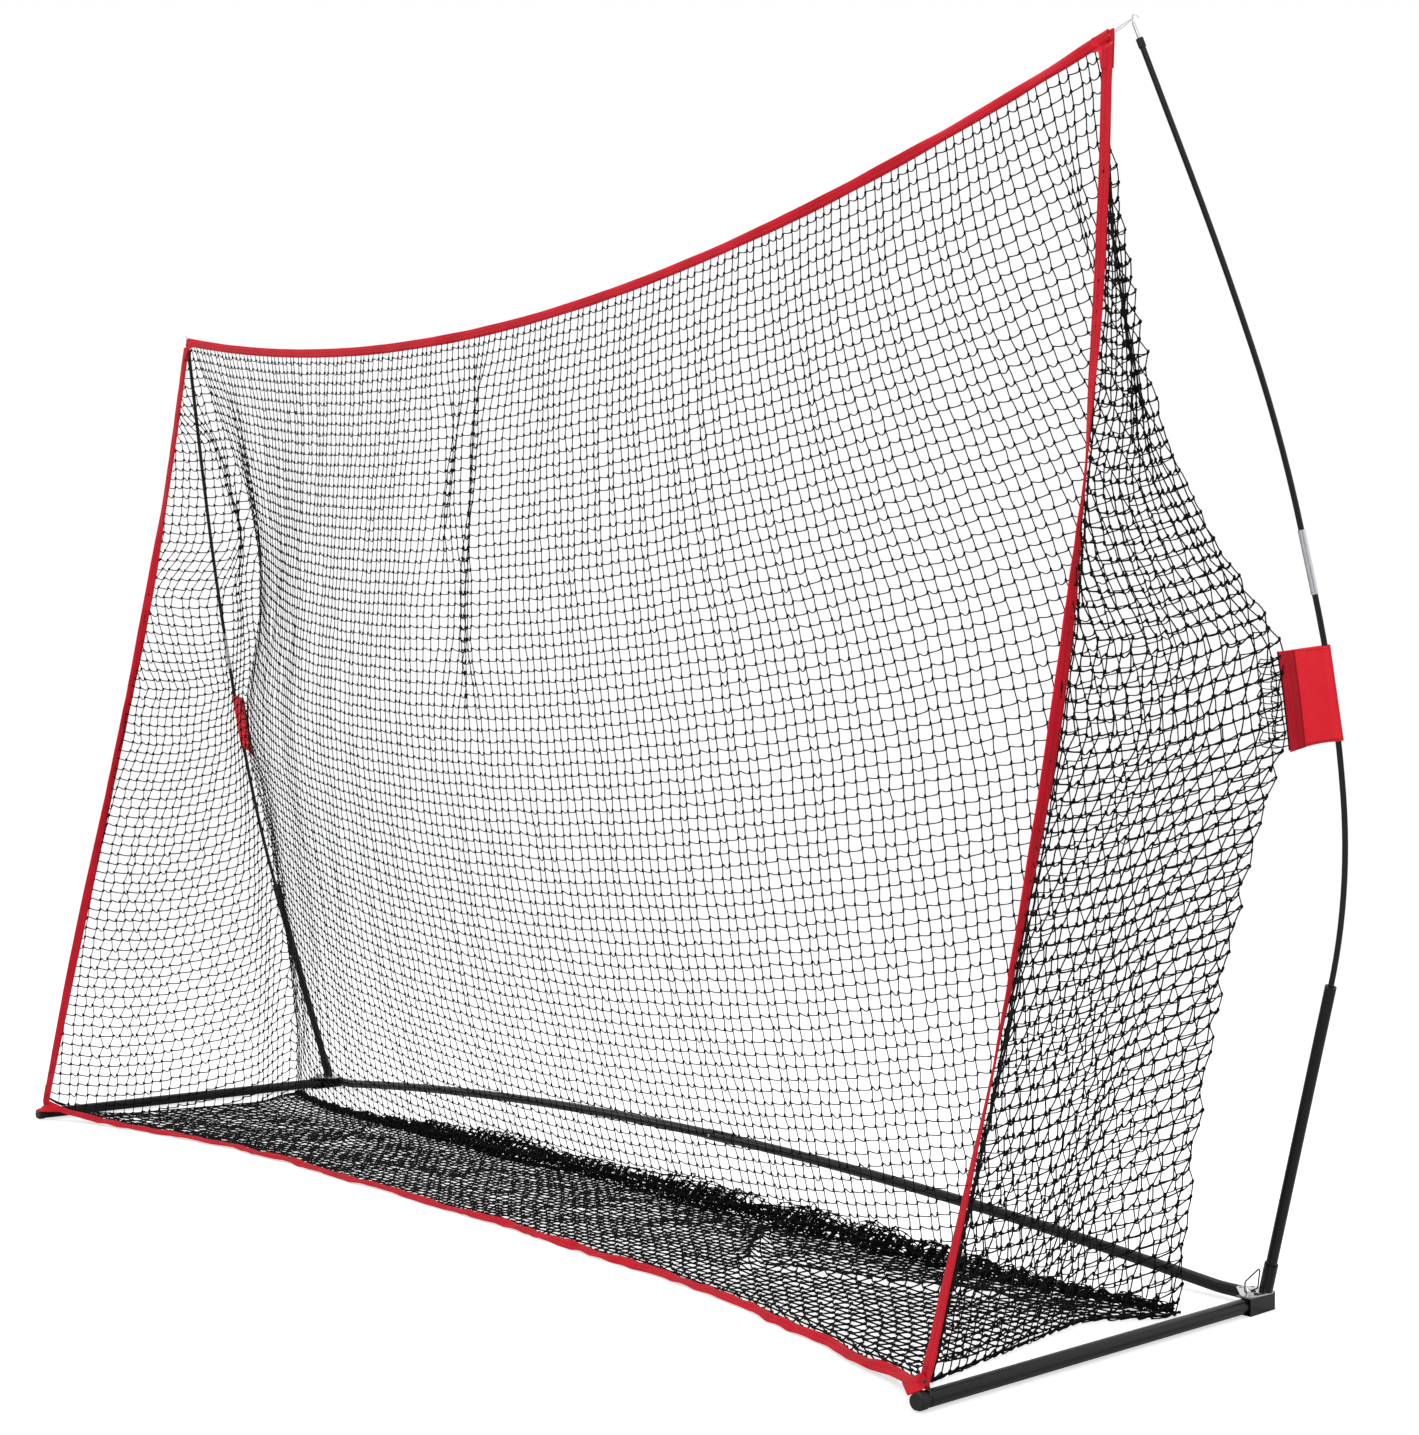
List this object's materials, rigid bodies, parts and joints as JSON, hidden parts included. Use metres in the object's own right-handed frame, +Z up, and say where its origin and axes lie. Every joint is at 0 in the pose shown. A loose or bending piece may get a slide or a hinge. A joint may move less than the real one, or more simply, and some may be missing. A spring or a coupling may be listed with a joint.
{
  "type": "golf practice net",
  "caption": "Free-standing golf practice net with bowed poles, folding side bars, locking pins and a loose catch net edged in red.",
  "frame": {"origin": "middle of the bounding box at ground level", "axes": "+X to the right seen from the golfer, +Y from the open front to the rear bar, +Z up"},
  "size_m": [3.5564, 0.914, 2.1339],
  "materials": {
    "black_steel": "black powder coat, satin",
    "zinc_plate": "zinc plated, bright",
    "bright_steel": "nickel plated, bright",
    "fibreglass": "black fibreglass rod, satin",
    "black_plastic": "moulded, fine grain",
    "coated_wire": "spring wire in a black coat",
    "elastic_cord": "braided elastic cord",
    "white_cord": "thin braided cord",
    "net_twine": "knotted black twine",
    "red_ribbon": "woven ribbon, folded over the edge and sewn",
    "red_binding": "doubled and sewn ribbon",
    "red_fabric": "woven polyester, sewn in two layers"
  },
  "bodies": {
    "frame": {"rear_bar_left": "black_steel", "rear_bar_right": "black_steel", "bar_sleeve": "black_steel", "sleeve_rivet": "black_steel", "button_spring": "bright_steel", "corner_bracket_left": "black_steel", "corner_bracket_right": "black_steel", "corner_plate_left": "zinc_plate", "corner_plate_right": "zinc_plate", "plate_rivets_left": "black_steel", "plate_rivets_right": "black_steel", "upright_socket_left": "black_steel", "upright_socket_right": "black_steel", "upright_tube_left": "black_steel", "upright_tube_right": "black_steel", "rod_bush_left": "black_plastic", "rod_bush_right": "black_plastic", "rod_lower_left": "fibreglass", "rod_lower_right": "fibreglass", "ferrule_left": "bright_steel", "ferrule_right": "bright_steel", "rod_upper_left": "fibreglass", "rod_upper_right": "fibreglass", "tip_collar_left": "black_plastic", "tip_collar_right": "black_plastic", "tip_hook_left": "bright_steel", "tip_hook_right": "bright_steel", "tip_loop_left": "white_cord", "tip_loop_right": "white_cord", "net_back": "net_twine", "net_floor": "net_twine", "net_side_left": "net_twine", "net_side_right": "net_twine", "trim_top": "red_ribbon", "trim_bottom": "red_ribbon", "trim_side_left": "red_ribbon", "trim_side_right": "red_ribbon", "top_patch_left": "red_ribbon", "top_patch_right": "red_ribbon", "bottom_patch_left": "red_ribbon", "bottom_patch_right": "red_ribbon", "pocket_left": "red_fabric", "pocket_right": "red_fabric", "pocket_band_left": "red_binding", "pocket_band_right": "red_binding"},
    "left_side_bar": {"side_bar_left": "black_steel", "end_cap_left": "black_plastic", "corner_loop_left": "elastic_cord"},
    "left_lock_pin": {"lock_pin_left": "bright_steel"},
    "left_bail": {"lock_bail_left": "coated_wire"},
    "right_side_bar": {"side_bar_right": "black_steel", "end_cap_right": "black_plastic", "corner_loop_right": "elastic_cord"},
    "right_lock_pin": {"lock_pin_right": "bright_steel"},
    "right_bail": {"lock_bail_right": "coated_wire"},
    "joint_button": {"snap_button": "bright_steel"}
  },
  "joints": [
    {"name": "left_side_fold", "type": "hinge", "parent": "frame", "child": "left_side_bar", "pos_m": [-1.53043, 0.386, 0.0148], "axis": [0, 0, 1], "range_deg": [0, 88.7], "deforming": ["net_back", "net_floor", "net_side_left", "trim_bottom", "trim_side_left", "bottom_patch_left"]},
    {"name": "left_pin_pull", "type": "slide", "parent": "frame", "child": "left_lock_pin", "axis": [0, 0, 1], "range_m": [0, 0.034]},
    {"name": "left_bail_swing", "type": "hinge", "parent": "left_lock_pin", "child": "left_bail", "pos_m": [-1.53043, 0.386, 0.0381], "axis": [0, 1, 0], "range_deg": [0, 85]},
    {"name": "right_side_fold", "type": "hinge", "parent": "frame", "child": "right_side_bar", "pos_m": [1.53043, 0.386, 0.0148], "axis": [0, 0, -1], "range_deg": [0, 88.7], "deforming": ["net_back", "net_floor", "net_side_right", "trim_bottom", "trim_side_right", "bottom_patch_right"]},
    {"name": "right_pin_pull", "type": "slide", "parent": "frame", "child": "right_lock_pin", "axis": [0, 0, 1], "range_m": [0, 0.034]},
    {"name": "right_bail_swing", "type": "hinge", "parent": "right_lock_pin", "child": "right_bail", "pos_m": [1.53043, 0.386, 0.0381], "axis": [0, -1, 0], "range_deg": [0, 85]},
    {"name": "button_press", "type": "slide", "parent": "frame", "child": "joint_button", "axis": [0, 1, 0], "range_m": [0, 0.0032], "stiffness_N_per_m": 600, "springref_m": -0.002, "deforming": ["button_spring"]}
  ]
}
